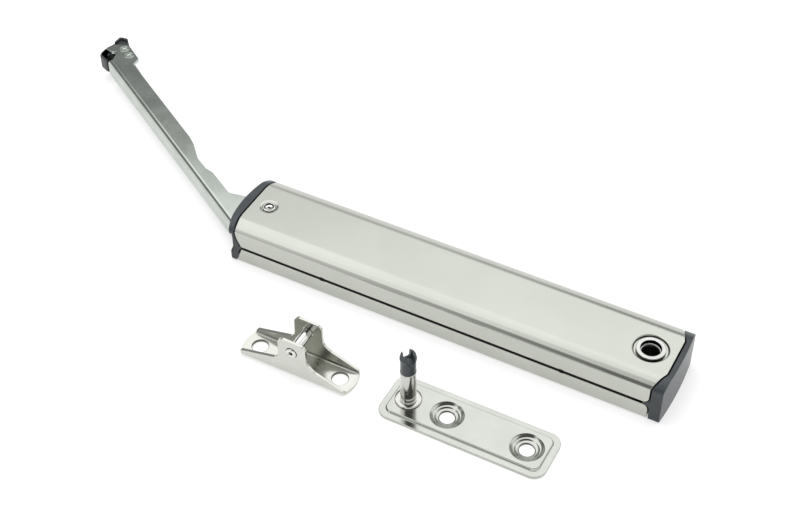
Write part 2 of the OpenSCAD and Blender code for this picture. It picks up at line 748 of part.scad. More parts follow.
// Side view of the bracket's walls as [x, z], with the ear between the tapers
bracket_side = let (x0 = -bracket_l / 2 + 1.4, x1 = bracket_l / 2 - 1.4, e0 = ear_x - ear_w / 2,
    e1 = ear_x + ear_w / 2)
    rounded([[x0, 0, 0], [x0, 2.9, 1], [e0 - 1.6, 6.9, 2], [e0, 9.2, 2.4], [e0 + 0.3, ear_h, 2.4],
        [e1, ear_h - 0.3, 2.4], [e1 + 0.2, 9.4, 3], [e1 + 3, 6.8, 5], [x1, 2.2, 1], [x1, 0, 0]]);

module flap_bracket() {
    half = bracket_w / 2;
    end_r = 13;
    centre_x = bracket_l / 2 - end_r;
    reach = asin(half / end_r);
    bend = bracket_sheet + 0.6;
    color(steel) translate(bracket_at) difference() {
        union() {
            from_z(0, bracket_sheet) polygon(concat(
                arc([centre_x, 0], end_r, -reach, reach, 10),
                arc([-centre_x, 0], end_r, 180 - reach, 180 + reach, 10)));
            along_y(-half, -half + bracket_sheet) polygon(bracket_side);
            along_y(half - bracket_sheet, half) polygon(bracket_side);
        }
        for (side = [-1, 1]) {
            along_x(-far, far) corner_relief([side * half, 0], side, 1, bend);
            translate([side * bracket_hole_pitch / 2, 0, -1])
                cylinder(d = bracket_hole_d, h = bracket_sheet + 2);
        }
        translate([ear_x, half + 1, pin_z]) rotate([90, 0, 0])
            cylinder(d = pin_d + 2 * bore_gap, h = bracket_w + 2);
    }
}

module bracket_pin() {
    half = bracket_w / 2 + 0.2;
    color(polished) translate(bracket_at + [ear_x, half, pin_z]) rotate([90, 0, 0])
        difference() {
            cylinder(d = pin_d, h = 2 * half);
            translate([0, 0, -1]) cylinder(d = pin_d * 0.4, h = 2 * half + 2);
        }
}

back_tray();
top_cover();
front_end_cap();
rear_end_cap();
pivot_bush();
arm_pivot_pin();
pivot_spacers();
side_liners();
spring_abutment();
guide_rods();
coil_spring_near();
coil_spring_far();
lever_arm();
arm_cam();
cam_rivets();
head_rivets();
catch();
spring_carriage();
roller_pin();
cam_roller();
mounting_plate();
pivot_post();
snap_tip();
flap_bracket();
bracket_pin();
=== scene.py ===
import math

import bmesh
import bpy
from mathutils import Matrix, Vector


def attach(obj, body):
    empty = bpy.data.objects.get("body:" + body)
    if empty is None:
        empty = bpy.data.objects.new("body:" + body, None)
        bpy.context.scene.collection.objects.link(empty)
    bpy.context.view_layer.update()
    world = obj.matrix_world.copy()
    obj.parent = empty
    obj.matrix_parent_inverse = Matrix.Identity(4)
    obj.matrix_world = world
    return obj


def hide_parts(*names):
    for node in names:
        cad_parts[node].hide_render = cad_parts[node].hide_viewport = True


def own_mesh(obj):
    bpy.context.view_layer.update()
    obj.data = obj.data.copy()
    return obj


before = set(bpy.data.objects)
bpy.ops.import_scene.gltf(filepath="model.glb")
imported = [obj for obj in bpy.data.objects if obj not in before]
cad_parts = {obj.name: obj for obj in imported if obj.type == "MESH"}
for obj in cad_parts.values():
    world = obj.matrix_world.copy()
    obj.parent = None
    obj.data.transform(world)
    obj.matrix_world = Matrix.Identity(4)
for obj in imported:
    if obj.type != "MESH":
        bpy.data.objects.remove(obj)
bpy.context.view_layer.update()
mm = 0.001
print("frame loaded:", len(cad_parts), "nodes")

# sizes that several pieces share, in mm; the bush's axis is at x = 0, y = 0
housing = {
    "halfWidth": 16.6, "height": 18.8, "crease": 16.5, "shoulder": 4.8, "sheet": 1.2,
    "nubs": (-129.9, -27.7), "seamLow": 7.35, "seamHigh": 8.75,
    "front": -169.5, "frontNose": 1.1, "rear": 6.5, "rearNose": 3.2, "noseHalf": 9,
    "frontCorner": 9, "notch": 2.3, "foldOpening": -145.5, "slotLow": 4.3, "slotHigh": 14.5,
    "nubRoom": (0.85, 0.25), "stock": (-176, 14),
}
arm = {
    "pivot": (-163.5, 0), "angle": 148.9, "length": 132.9, "low": 4.6, "high": 14.2,
    "sheet": 1.4, "web": 15.6, "seat": 12.6, "bend": 2.0, "hub": 8.0, "bore": 3.55,
    "catchPivot": (133.2, 5.8), "catchStop": (127.8, 5.9), "stock": (-14, 150), "edge": 0.16,
}
shellEdge = 0.12  # rounding of the cover's and the tray's edges
beyond = 60  # how far a cutting tool goes, to pass right through
weldGap = 0.002  # shorter edges are dissolved before the edges are rounded


def pick(part, keys):
    # several values of a dictionary
    return [part[key] for key in keys.split()]


# mesh tools: all sizes in mm, meshes end up in metres with their objects at the origin


def roundCorners(corners, step=6):
    # corners are x, y, radius, and a round one is stepped by at most so many degrees
    path = []
    for i, (x, y, r) in enumerate(corners):
        b = Vector((x, y))
        if r <= 0:
            path.append(b)
            continue
        a, c = Vector(corners[i - 1][:2]), Vector(corners[(i + 1) % len(corners)][:2])
        p, q = (a - b).normalized(), (c - b).normalized()
        half = math.acos(max(-1, min(1, p.dot(q)))) / 2
        run, centre = r / math.tan(half), b + (p + q).normalized() * r / math.sin(half)
        start, end = b + p * run - centre, b + q * run - centre
        a0 = math.atan2(start.y, start.x)
        turn = (math.atan2(end.y, end.x) - a0 + math.pi) % (2 * math.pi) - math.pi
        count = max(2, math.ceil(abs(math.degrees(turn)) / step))
        path += [centre + r * Vector((math.cos(a0 + turn * k / count), math.sin(a0 + turn * k / count)))
                 for k in range(count + 1)]
    return path


def arcPoints(centre, r, first, last, count):
    turns = [math.radians(first + (last - first) * k / count) for k in range(count + 1)]
    return [Vector((centre[0] + r * math.cos(turn), centre[1] + r * math.sin(turn))) for turn in turns]


def linked(name, data):
    piece = bpy.data.objects.new(name, data)
    bpy.context.scene.collection.objects.link(piece)
    return piece


def newPiece(name, verts, faces):
    mesh = bpy.data.meshes.new(name)
    mesh.from_pydata([Vector(v) * mm for v in verts], [], faces)
    outward(mesh)
    return linked(name, mesh)


def outward(mesh):
    bm = bmesh.new()
    bm.from_mesh(mesh)
    bmesh.ops.remove_doubles(bm, verts=bm.verts, dist=1e-7)
    bmesh.ops.recalc_face_normals(bm, faces=bm.faces)
    bm.to_mesh(mesh)
    bm.free()


def prism(name, outline, low, high, axis="z"):
    # outline is x, y for axis z, y, z for axis x and x, z for axis y
    place = {"z": lambda u, v, w: (u, v, w), "x": lambda u, v, w: (w, u, v),
             "y": lambda u, v, w: (u, w, v)}[axis]
    n = len(outline)
    verts = [place(p[0], p[1], w) for w in (low, high) for p in outline]
    faces = [list(range(n))[::-1], list(range(n, 2 * n))]
    faces += [[k, (k + 1) % n, n + (k + 1) % n, n + k] for k in range(n)]
    return newPiece(name, verts, faces)


def lathe(name, profile, at=(0, 0), segments=96):
    # profile runs r, z; it is closed unless it starts and ends on the axis
    closed = profile[0][0] > 0
    verts, rings = [], []
    for r, z in profile:
        if r == 0:
            rings.append([len(verts)] * segments)
            verts.append((at[0], at[1], z))
            continue
        rings.append(list(range(len(verts), len(verts) + segments)))
        verts += [(at[0] + r * math.cos(2 * math.pi * k / segments),
                   at[1] + r * math.sin(2 * math.pi * k / segments), z) for k in range(segments)]
    faces = []
    for i in range(len(rings) if closed else len(rings) - 1):
        a, b = rings[i], rings[(i + 1) % len(rings)]
        for k in range(segments):
            m = (k + 1) % segments
            face = list(dict.fromkeys([a[k], a[m], b[m], b[k]]))
            if len(face) > 2:
                faces.append(face)
    return newPiece(name, verts, faces)


def through(name, outline, axis):
    # a tool that passes right through, across or upwards
    return prism(name, outline, -beyond, beyond, axis)


def rod(name, r, low, high, at=(0, 0), segments=64):
    return lathe(name, [(0, low), (r, low), (r, high), (0, high)], at, segments)


def bore(r, at=(0, 0), segments=64):
    # a tool for a round hole that passes right through
    return rod("bore", r, -beyond, beyond, at, segments)


def block(name, low, high):
    return prism(name, [(low[0], low[1]), (high[0], low[1]), (high[0], high[1]), (low[0], high[1])],
                 low[2], high[2])


def settle(piece):
    # what the modifiers give becomes the piece's own mesh
    bpy.context.view_layer.update()
    mesh = bpy.data.meshes.new_from_object(
        piece.evaluated_get(bpy.context.evaluated_depsgraph_get()))
    piece.modifiers.clear()
    piece.data = mesh
    return piece


def carve(piece, *tools, how="DIFFERENCE"):
    for tool in tools:
        step = piece.modifiers.new("carve", "BOOLEAN")
        step.operation, step.object, step.solver = how, tool, "MANIFOLD"
        settle(piece)
        bpy.data.objects.remove(tool)
    return piece


def shift(x, y, z=0):
    return Matrix.Translation((x * mm, y * mm, z * mm))


def turned(angle, axis="Z"):
    return Matrix.Rotation(math.radians(angle), 4, axis)


def move(piece, matrix):
    piece.data.transform(matrix)
    return piece


def joinPieces(name, *pieces):
    bm = bmesh.new()
    for piece in pieces:
        bm.from_mesh(piece.data)
        bpy.data.objects.remove(piece)
    mesh = bpy.data.meshes.new(name)
    bm.to_mesh(mesh)
    bm.free()
    return linked(name, mesh)


def softenEdges(piece, width, angle=40, segments=3):
    # round every edge that is sharper than angle
    bm = bmesh.new()
    bm.from_mesh(piece.data)
    bmesh.ops.dissolve_degenerate(bm, edges=bm.edges, dist=weldGap * mm)
    bm.to_mesh(piece.data)
    bm.free()
    step = piece.modifiers.new("edges", "BEVEL")
    step.width, step.segments, step.limit_method = width * mm, segments, "ANGLE"
    step.angle_limit, step.use_clamp_overlap = math.radians(angle), False
    step.miter_outer = "MITER_ARC"
    return settle(piece)


def hand(piece, body, node):
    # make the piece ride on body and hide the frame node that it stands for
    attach(piece, body)
    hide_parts(node)
    return piece


def finish(piece, material, body, node, flow=40):
    # bends of less than flow degrees shade as one face
    piece.data.shade_smooth()
    piece.data.set_sharp_from_angle(angle=math.radians(flow))
    step = piece.modifiers.new("normals", "WEIGHTED_NORMAL")
    step.keep_sharp, step.weight = True, 60
    settle(piece)
    piece.data.materials.clear()
    piece.data.materials.append(material)
    return hand(piece, body, node)


# node tools


class Wire:
    # a socket that takes part in sums
    def __init__(self, tree, socket):
        self.tree, self.socket = tree, socket

    def reckon(self, operation, first, second=None):
        node = self.tree.nodes.new("ShaderNodeMath")
        node.operation = operation
        for slot, value in zip(node.inputs, (first, second)):
            feed(self.tree, slot, value)
        return Wire(self.tree, node.outputs[0])

    def __add__(self, other):
        return self.reckon("ADD", self, other)

    def __radd__(self, other):
        return self.reckon("ADD", other, self)

    def __sub__(self, other):
        return self.reckon("SUBTRACT", self, other)

    def __rsub__(self, other):
        return self.reckon("SUBTRACT", other, self)

    def __mul__(self, other):
        return self.reckon("MULTIPLY", self, other)

    def __rmul__(self, other):
        return self.reckon("MULTIPLY", other, self)

    def __truediv__(self, other):
        return self.reckon("DIVIDE", self, other)

    def __pow__(self, other):
        return self.reckon("POWER", self, other)

    def atMost(self, other):
        return self.reckon("MINIMUM", self, other)

    def atLeast(self, other):
        return self.reckon("MAXIMUM", self, other)

    def ramp(self, low, high):
        # 0 below low and 1 above high, with a soft step between
        node = self.tree.nodes.new("ShaderNodeMapRange")
        node.interpolation_type = "SMOOTHSTEP"
        feed(self.tree, node.inputs["Value"], self)
        node.inputs["From Min"].default_value, node.inputs["From Max"].default_value = low, high
        return Wire(self.tree, node.outputs["Result"])

    def band(self, low, high, rise, fall):
        # 1 from low to high, all in mm, rising over rise before it and falling over fall after it
        return self.ramp((low - rise) * mm, low * mm) * (1 - self.ramp(high * mm, (high + fall) * mm))


def feed(tree, socket, value):
    if isinstance(value, Wire):
        tree.links.new(value.socket, socket)
    elif value is not None:
        socket.default_value = value


class Nodes:
    # a node tree, with one method for every node that Wire doesn't make
    def __init__(self, tree):
        self.tree = tree

    def node(self, kind, settings=None, output=0, **sockets):
        node = self.tree.nodes.new(kind)
        for name, value in (settings or {}).items():
            setattr(node, name, value)
        for name, value in sockets.items():
            feed(self.tree, node.inputs[name.replace("_", " ")], value)
        return Wire(self.tree, node.outputs[output]) if node.outputs else None

    def join(self, kind, *wires):
        # for a node whose inputs share one name, or that has only one
        node = self.tree.nodes.new(kind)
        for k, wire in enumerate(wires):
            self.tree.links.new(wire.socket, node.inputs[k % len(node.inputs)])
        return Wire(self.tree, node.outputs[0])

    def axes(self, vector):
        # x, y and z of a vector
        node = self.node("ShaderNodeSeparateXYZ", Vector=vector).socket.node
        return [Wire(self.tree, socket) for socket in node.outputs]


class Finish(Nodes):
    # a material or the world
    def __init__(self, owner):
        owner.use_nodes = True
        super().__init__(owner.node_tree)
        self.owner = owner
        self.tree.nodes.clear()

    def mix(self, share, first, second):
        node = self.tree.nodes.new("ShaderNodeMix")
        node.data_type = "RGBA"
        feed(self.tree, node.inputs[0], share)
        for socket, colour in ((node.inputs[6], first), (node.inputs[7], second)):
            feed(self.tree, socket, colour if isinstance(colour, Wire) else (*colour, 1))
        return Wire(self.tree, node.outputs[2])

    def where(self, kind="Object"):
        return self.node("ShaderNodeTexCoord", output=kind)

    def noise(self, scale, detail=3, roughness=0.5, stretch=(1, 1, 1)):
        spot = self.node("ShaderNodeMapping", Vector=self.where(), Scale=stretch)
        return self.node("ShaderNodeTexNoise", Vector=spot, Scale=scale, Detail=detail,
                         Roughness=roughness)

    def radius(self, at):
        # how far a spot is from the upright axis at x, y
        x, y = (wire - place * mm for wire, place in zip(self.axes(self.where()), at))
        return (x * x + y * y) ** 0.5

    def tint(self, cloud, tones):
        return self.mix(cloud.ramp(0.3, 0.7), tones["deep"], tones["light"])

    def surface(self, colour, rough, bump, height, **fixed):
        tilt = self.node("ShaderNodeBump", Strength=1.0, Distance=height, Height=bump)
        shader = self.node("ShaderNodeBsdfPrincipled", Base_Color=colour, Roughness=rough,
                           Normal=tilt, **fixed)
        self.node("ShaderNodeOutputMaterial", Surface=shader)
        return self.owner


def newFinish(name):
    return Finish(bpy.data.materials.new(name))


# finishes: a colour runs from deep to light

nickelLook = {"light": (0.565, 0.58, 0.53), "deep": (0.53, 0.545, 0.495), "rough": 0.22}
plateLook = {"light": (0.54, 0.555, 0.515), "deep": (0.50, 0.515, 0.475), "rough": 0.15}
bracketLook = {"light": (0.68, 0.69, 0.64), "deep": (0.63, 0.64, 0.59), "rough": 0.2}
armLook = {"light": (0.56, 0.60, 0.56), "deep": (0.49, 0.53, 0.49), "rough": 0.13}
brightLook = {"light": (0.80, 0.80, 0.775), "deep": (0.74, 0.74, 0.71), "rough": 0.1}
bushLook = {"light": (0.62, 0.62, 0.60), "deep": (0.56, 0.56, 0.54), "rough": 0.12}
postLook = {"light": (0.62, 0.62, 0.59), "deep": (0.57, 0.57, 0.54), "rough": 0.12}
slateLook = {"light": (0.042, 0.051, 0.056), "deep": (0.031, 0.038, 0.043), "rough": 0.29}
# near-black with little sheen: the liners are black plastic, and their ridge in the seam gap also stands in
# for the gap's shade
linerSeamShadeLook = {"light": (0.008, 0.008, 0.009), "deep": (0.005, 0.005, 0.006), "rough": 0.6}
blackLook = {"light": (0.030, 0.033, 0.038), "deep": (0.018, 0.020, 0.023), "rough": 0.34}
wireLook = {"light": (0.46, 0.46, 0.45), "deep": (0.30, 0.30, 0.29), "rough": 0.32}
zincLook = {"light": (0.56, 0.56, 0.55), "deep": (0.42, 0.42, 0.41), "rough": 0.45}
# painted shade: dark colours mixed into the metals where bores, hole walls, flanks and an inner face fall
# into shade
paintedShade = {"bore": (0.06, 0.057, 0.05), "wall": (0.15, 0.145, 0.13), "face": (0.25, 0.25, 0.225)}


def satinNickel():
    look = newFinish("satinNickel")
    grain = look.noise(1, 4, 0.6, stretch=(60, 2600, 2600))  # fine rolling lines along the housing
    cloud, speck = look.noise(45, 2), look.noise(2400, 2)
    colour = look.mix(cloud.ramp(0.35, 0.65) * 0.7 + grain * 0.3, nickelLook["deep"], nickelLook["light"])
    rough = nickelLook["rough"] + (grain - 0.5) * 0.06 + (cloud - 0.5) * 0.05
    return look.surface(colour, rough, grain * 0.7 + speck * 0.3, 6e-7, Metallic=1.0)


def pressedNickel(name, tones, holes=(), paintedShadeSpan=None):
    # satin nickel on pressed steel, with painted shade in the walls of holes, each given as x, y, radius,
    # and over an inner face, given as low y, high y
    look = newFinish(name)
    cloud, peel = look.noise(90), look.noise(1500)
    colour = look.tint(cloud, tones)
    rough = tones["rough"] + (cloud - 0.5) * 0.08 + (peel - 0.5) * 0.04
    for x, y, r in holes:
        # painted shade in the wall of each hole
        wall = 1 - look.radius((x, y)).ramp((r + 0.05) * mm, (r + 0.3) * mm)
        colour = look.mix(wall, colour, paintedShade["wall"])
    if paintedShadeSpan:
        # painted shade over the inner face, its strength mottled by the cloud
        face = look.axes(look.where())[1].band(*paintedShadeSpan, 0.1, 0.1)
        colour = look.mix(face * (0.45 + cloud * 0.3), colour, paintedShade["face"])
    return look.surface(colour, rough, peel, 8e-7, Metallic=1.0)


def turnedSteel(name, tones, at, hole=None, shades=()):
    # bright turned steel with rings round the upright axis at x, y, and painted shade: dark inside a hole
    # given as radius, z, and in each shade band, given as low z, high z, low radius, high radius
    look = newFinish(name)
    radius, height = look.radius(at), look.axes(look.where())[2]
    rings = look.node("ShaderNodeTexNoise", {"noise_dimensions": "1D"},
                      W=radius * 9000 + height * 7000, Scale=1.0, Detail=2)
    cloud = look.noise(220, 2)
    colour = look.tint(cloud, tones)
    rough = tones["rough"] + (rings - 0.5) * 0.05 + (cloud - 0.5) * 0.05
    # painted shade: dark bands over flanks and walls that fall into shade
    for low, high, inner, outer in shades:
        band = height.band(low + 0.05, high - 0.1, 0.05, 0.15) * radius.band(inner, outer, 0.05, 0.05)
        colour = look.mix(band, colour, paintedShade["bore"])
    if hole:
        r, top = hole
        # painted shade inside the hole's bore, which is also made rougher
        holeShade = (1 - radius.ramp((r - 0.1) * mm, (r + 0.05) * mm)) * (
            1 - height.ramp((top - 0.15) * mm, top * mm))
        colour = look.mix(holeShade, colour, paintedShade["bore"])
        rough = rough + holeShade * 0.4
    return look.surface(colour, rough, rings, 4e-7, Metallic=1.0)


def mouldedPlastic(name, tones, grainScale, height, shine=0.5):
    look = newFinish(name)
    grain, cloud = look.noise(grainScale, 3, 0.55), look.noise(120, 2)
    rough = tones["rough"] + (grain - 0.5) * 0.12 + (cloud - 0.5) * 0.06
    return look.surface(look.tint(cloud, tones), rough, grain, height, Specular_IOR_Level=shine)


def rawMetal(name, tones, noise, change, height):
    # plain wire and castings, whose tone and roughness follow their grain
    look = newFinish(name)
    grain = look.noise(**noise)
    colour = look.mix(grain, tones["deep"], tones["light"])
    return look.surface(colour, tones["rough"] + (grain - 0.5) * change, grain, height, Metallic=1.0)


nickel = satinNickel()
armNickel = pressedNickel("armNickel", armLook)
slate = mouldedPlastic("slatePlastic", slateLook, 3500, 2e-6)
black = mouldedPlastic("blackPlastic", blackLook, 3000, 1.5e-6)
linerSeamShadePlastic = mouldedPlastic("linerSeamShadePlastic", linerSeamShadeLook, 3000, 1.5e-6, 0.08)
wire = rawMetal("drawnWire", wireLook, {"scale": 1, "stretch": (900, 300, 300)}, 0.1, 5e-7)
zinc = rawMetal("dieCast", zincLook, {"scale": 1100, "detail": 4, "roughness": 0.6}, 0.15, 4e-6)
print("finishes made")


# housing


def section(inset, low=None):
    # the housing's outline across, as y, z, drawn in by inset; it ends at low, if that is given
    half, top, crease, shoulder = pick(housing, "halfWidth height crease shoulder")
    flat = 0.004  # lets the flat wall and top begin a hair outside their bends, so that they shade flat
    foot = (inset, max(1.0 - inset, 0.25)) if low is None else (low, 0)
    edge = [(half - inset, *foot),
            (half - inset, crease - 2.4, 0),
            (half - inset - flat, crease - 0.3 - inset * 0.6, max(0.9 - inset, 0.3)),
            (half - 1.1 - inset * 0.75, top - 1.7 - inset * 0.85, max(2.5 - inset, 0.5)),
            (half - 2.6 - inset * 0.5, top - 0.9 - inset * 0.95, 6),
            (half - shoulder - 0.1 - inset * 0.2, top - inset - flat, 6),
            (half - shoulder - 2.2, top - inset, 0)]
    return roundCorners(edge + [(-y, z, r) for y, z, r in edge[::-1]], 3)


def coverPlan():
    front, rear, half, nose = pick(housing, "front rear halfWidth noseHalf")
    frontNose, rearNose = front - housing["frontNose"], rear + housing["rearNose"]
    return roundCorners([(front, half + 1, 0), (front, half, 1), (frontNose, nose, 3), (frontNose, -nose, 3),
                         (front, -half, 1), (front, -half - 1, 0), (rear, -half - 1, 0),
                         (rear, -half, 0.5), (rearNose, -nose, 1.5), (rearNose, nose, 1.5),
                         (rear, half, 0.5), (rear, half + 1, 0)])


def coverEnds(push=0):
    # tools for the lower corners of the cover's two ends, as seen from the side
    front, rear = housing["front"] + push, housing["rear"] + push
    high, crease, notch, r = pick(housing, "seamHigh crease notch frontCorner")
    frontCut = roundCorners([(front - r, high - 1, 0), (front + notch, high - 1, 0), (front + notch, high, 0),
                             (front, crease - 3, r), (front, crease, 0), (front - r, crease, 0)])
    rearCut = [(rear + beyond, high - 1), *arcPoints((rear - notch, high + notch), notch, -90, 0, 14),
               (rear + beyond, high + notch)]
    return [through("front", frontCut, "y"), through("rear", rearCut, "y")]


def coverSpace(push):
    # all the room that the cover takes, as a tool to cut the caps with
    space = prism("coverSpace", [(x + push, y) for x, y in coverPlan()], housing["seamHigh"], beyond)
    return carve(space, *coverEnds(push))


def traySide(push=0):
    # the tray as seen from the side
    front, rear = housing["front"] + push, housing["rear"] + push
    low, r = pick(housing, "seamLow notch")
    return [(front, -3), (front, 0.8), (front + r, low),
            *arcPoints((rear - r, low - r), r, 90, 0, 14), (rear, -3)]


def foldOpening(level, side, r):
    # the notch in the far wall of a shell, into which the arm folds
    end, half = pick(housing, "foldOpening halfWidth")
    front = housing["front"] - beyond
    far = level + side * beyond
    corners = [(front, level, 0), (end, level, r), (end, far, 0), (front, far, 0)]
    return prism("fold", roundCorners(corners), half - 3, half + 2, "y")


def nubNotches():
    # room in both steel shells for the liners' four small nubs
    half, (along, past) = pick(housing, "halfWidth nubRoom")
    low, high = housing["seamLow"] - past, housing["seamHigh"] + past
    return [block("notch", (x - along, side * half - 2, low), (x + along, side * half + 2, high))
            for x in housing["nubs"] for side in (-1, 1)]


coverPart = {"dish": 6.7, "dishDepth": 1.1, "bore": 4.6, "dimple": 3.9, "dimpleDepth": 0.34, "hole": 3.0}


def makeCover():
    low, top = pick(housing, "seamHigh height")
    outline = section(0, low) + section(housing["sheet"], low)[::-1]
    cover = prism("topCover", outline, *housing["stock"], "x")
    carve(cover, through("plan", coverPlan(), "z"), how="INTERSECT")
    carve(cover, *coverEnds(), foldOpening(housing["slotHigh"], -1, 2), *nubNotches())
    softenEdges(cover, shellEdge)
    r, floor = coverPart["dish"], top - coverPart["dishDepth"]
    # the dish's flank flares into the top and rounds into its floor
    dish = [(0, top + 1), (r + 0.75, top + 1), (r + 0.55, top + 0.01), (r + 0.3, top - 0.04),
            (r + 0.1, top - 0.12), (r - 0.05, top - 0.28), (r - 0.12, top - 0.5), (r - 0.16, floor + 0.25),
            (r - 0.25, floor + 0.08), (r - 0.42, floor), (0, floor)]
    r, floor = coverPart["dimple"], top - coverPart["dimpleDepth"]
    dimple = [(0, top + 1), (r + 0.3, top + 1), (r + 0.1, top + 0.01), (r - 0.15, top - 0.04),
              (r - 0.5, top - 0.16), (r - 0.85, floor + 0.05), (r - 1.15, floor), (0, floor)]
    for at, outline, steps, r in (((0, 0), dish, 128, coverPart["bore"]),
                                  (arm["pivot"], dimple, 96, coverPart["hole"])):
        carve(cover, lathe("dish", outline, at, steps), bore(r, at))
    return finish(cover, nickel, "housing", "top_cover")


trayPart = {"bore": 4.55, "pivotHole": 2.75}


def makeTray():
    low, half, sheet = pick(housing, "seamLow halfWidth sheet")
    outline = roundCorners([(half, low, 0), (half, 0, 1.4), (-half, 0, 1.4), (-half, low, 0),
                            (-half + sheet, low, 0), (-half + sheet, sheet, 0.4),
                            (half - sheet, sheet, 0.4), (half - sheet, low, 0)])
    tray = prism("backTray", outline, *housing["stock"], "x")
    carve(tray, through("side", traySide(), "y"), how="INTERSECT")
    carve(tray, foldOpening(housing["slotLow"], 1, 1.5), *nubNotches())
    softenEdges(tray, shellEdge)
    for at, r in (((0, 0), trayPart["bore"]), (arm["pivot"], trayPart["pivotHole"])):
        carve(tray, lathe("hole", [(0, 4), (r, 4), (r, 0.25), (r + 0.06, 0.1), (r + 0.25, -0.02),
                                   (r + 0.25, -2), (0, -2)], at, 64))
    return finish(tray, nickel, "housing", "back_tray")


# lap is how far a cap reaches over the shells and plug how far its plug is drawn in; in frontPart and
# rearPart plug is where it begins and ends, seen from the shells' end
capPart = {"edge": 0.3, "lap": 2.3, "plug": 2.2, "plugEdge": 0.15, "lip": 1.2, "wall": 1.5}
frontPart = {"gap": 0.7, "length": 2.9, "bow": 2.7, "plug": (-1.2, 4), "round": 6}
rearPart = {"gap": 0.55, "length": 5.0, "bow": 0.9, "plug": (-4, 2.5), "round": 5.5}


def bowPlan(x, side, bow, innerX):
    # a cap's plan, whose outer end bows out by bow beyond x
    half = housing["halfWidth"]
    r = (half * half + bow * bow) / (2 * bow)
    reach = math.degrees(math.asin(half / r))
    middle = 90 - side * 90
    arc = arcPoints((x + side * (bow - r), 0), r, middle + side * reach, middle - side * reach, 40)
    return [(innerX, half + 1), (arc[0].x, half + 1), *arc, (arc[-1].x, -half - 1), (innerX, -half - 1)]


def capShell(name, part, end, side):
    # the cap's outer skin, cut out where cover and tray enter it
    shell = prism(name, section(0), *sorted((end - side * capPart["lap"], end + side * beyond)), "x")
    plan = bowPlan(end + side * part["length"], side, part["bow"], end - side * (capPart["lap"] + 0.1))
    carve(shell, through("plan", plan, "z"), how="INTERSECT")
    push = side * part["gap"]
    carve(shell, coverSpace(push), through("tray", traySide(push), "y"))
    return softenEdges(shell, capPart["edge"], 32)


def capPlug(part, end, at):
    # what stands inside the shells, hollow round the pivot or bush
    plug = prism("plug", section(capPart["plug"]), *(end + x for x in part["plug"]), "x")
    return carve(plug, bore(part["round"], at, 48))


def armOpening(name, yLow, xHigh):
    # the slot that the arm moves in, cut with slightly rounded corners
    low, high = pick(housing, "slotLow slotHigh")
    outline = roundCorners([(yLow, low, 0.6), (beyond, low, 0), (beyond, high, 0), (yLow, high, 0.6)])
    return prism(name, outline, housing["front"] - beyond, xHigh, "x")


def makeFrontCap():
    front = housing["front"]
    mouth = capPart["lip"] - housing["halfWidth"], front + beyond
    cap = capShell("frontEndCap", frontPart, front, -1)
    carve(cap, armOpening("slot", -beyond, front - capPart["wall"]), armOpening("mouth", *mouth))
    plug = carve(capPlug(frontPart, front, arm["pivot"]), armOpening("mouth", *mouth))
    softenEdges(plug, capPart["plugEdge"], 32, 2)
    return finish(joinPieces("frontEndCap", cap, plug), slate, "housing", "front_end_cap")


def makeRearCap():
    cap = capShell("rearEndCap", rearPart, housing["rear"], 1)
    plug = capPlug(rearPart, housing["rear"], (0, 0))
    return finish(joinPieces("rearEndCap", cap, plug), slate, "housing", "rear_end_cap")


# wall, ridge and nub are inner y, outer y, low z, high z
linerPart = {"nearFront": -165.2, "farFront": -144.5, "rear": 1.5, "nubHalf": 0.8, "edge": 0.12,
             "wall": (14.5, 15.3, 1.3, 14.7), "ridge": (14.6, 16.4, 7.37, 8.73),
             "nub": (15.1, 16.55, 7.15, 8.95)}


# the ridge fills the seam between tray and cover, where its near-black is painted seam shade as well as a
# black liner
def makeLiners():
    parts, nubHalf = [], linerPart["nubHalf"]
    for side, front in ((-1, linerPart["nearFront"]), (1, linerPart["farFront"])):
        spans = [(kind, front, linerPart["rear"]) for kind in ("wall", "ridge")]
        spans += [("nub", x - nubHalf, x + nubHalf) for x in housing["nubs"]]
        for kind, x0, x1 in spans:
            inner, outer, low, high = linerPart[kind]
            near, far = sorted((side * inner, side * outer))
            parts.append(softenEdges(block(kind, (x0, near, low), (x1, far, high)), linerPart["edge"], 30, 2))
    return finish(joinPieces("sideLiners", *parts), linerSeamShadePlastic, "housing", "side_liners")


bushPart = {"bore": 3.05, "flange": 5.55, "mouth": 3.95, "throat": 3.5, "top": 18.9, "ledge": 17.1}
# painted shade: a dark band over the counterbore's wall and the flange's outer flank, and a dark bore below
# the ledge
bushShade = (bushPart["ledge"] + 0.1, bushPart["top"] - 0.18, 0, 9)
bushSteel = turnedSteel("bushSteel", bushLook, (0, 0), (bushPart["throat"] + 0.1, bushPart["ledge"] - 0.02),
                        [bushShade])


def makeBush():
    inner, flange, mouth, throat, top, ledge = pick(bushPart, "bore flange mouth throat top ledge")
    profile = ([(inner, 0.15), (inner + 0.15, 0), (4.35, 0), (4.5, 0.15), (4.5, 1.2), (5, 1.2), (5, 17.6),
                (4.5, 17.6), (4.5, top - 1.12), (flange - 0.15, top - 1.12), (flange, top - 1.0)]
               + arcPoints((flange - 0.25, top - 0.25), 0.25, 0, 90, 8)
               + arcPoints((mouth + 0.15, top - 0.15), 0.15, 90, 180, 6)
               + [(mouth, ledge + 0.12), (mouth - 0.1, ledge), (throat + 0.1, ledge),
                  (throat, ledge - 0.08), (inner + 0.1, ledge - 0.7), (inner, ledge - 0.9)])
    return finish(lathe("pivotBush", profile, (0, 0), 128), bushSteel, "housing",
                  "pivot_bush", flow=50)


# painted shade in the pin's end: eye darkens its centre hole, and the shades darken the flank under its rim
# and the dished end's far wall
pivotPart = {"eye": (0.56, 18.55), "shades": [(17.7, 18.66, 2.3, 9), (18.43, 18.9, 1.55, 1.95)], "shank": 3.5}
pivotSteel = turnedSteel("pivotSteel", brightLook, arm["pivot"], pivotPart["eye"], pivotPart["shades"])


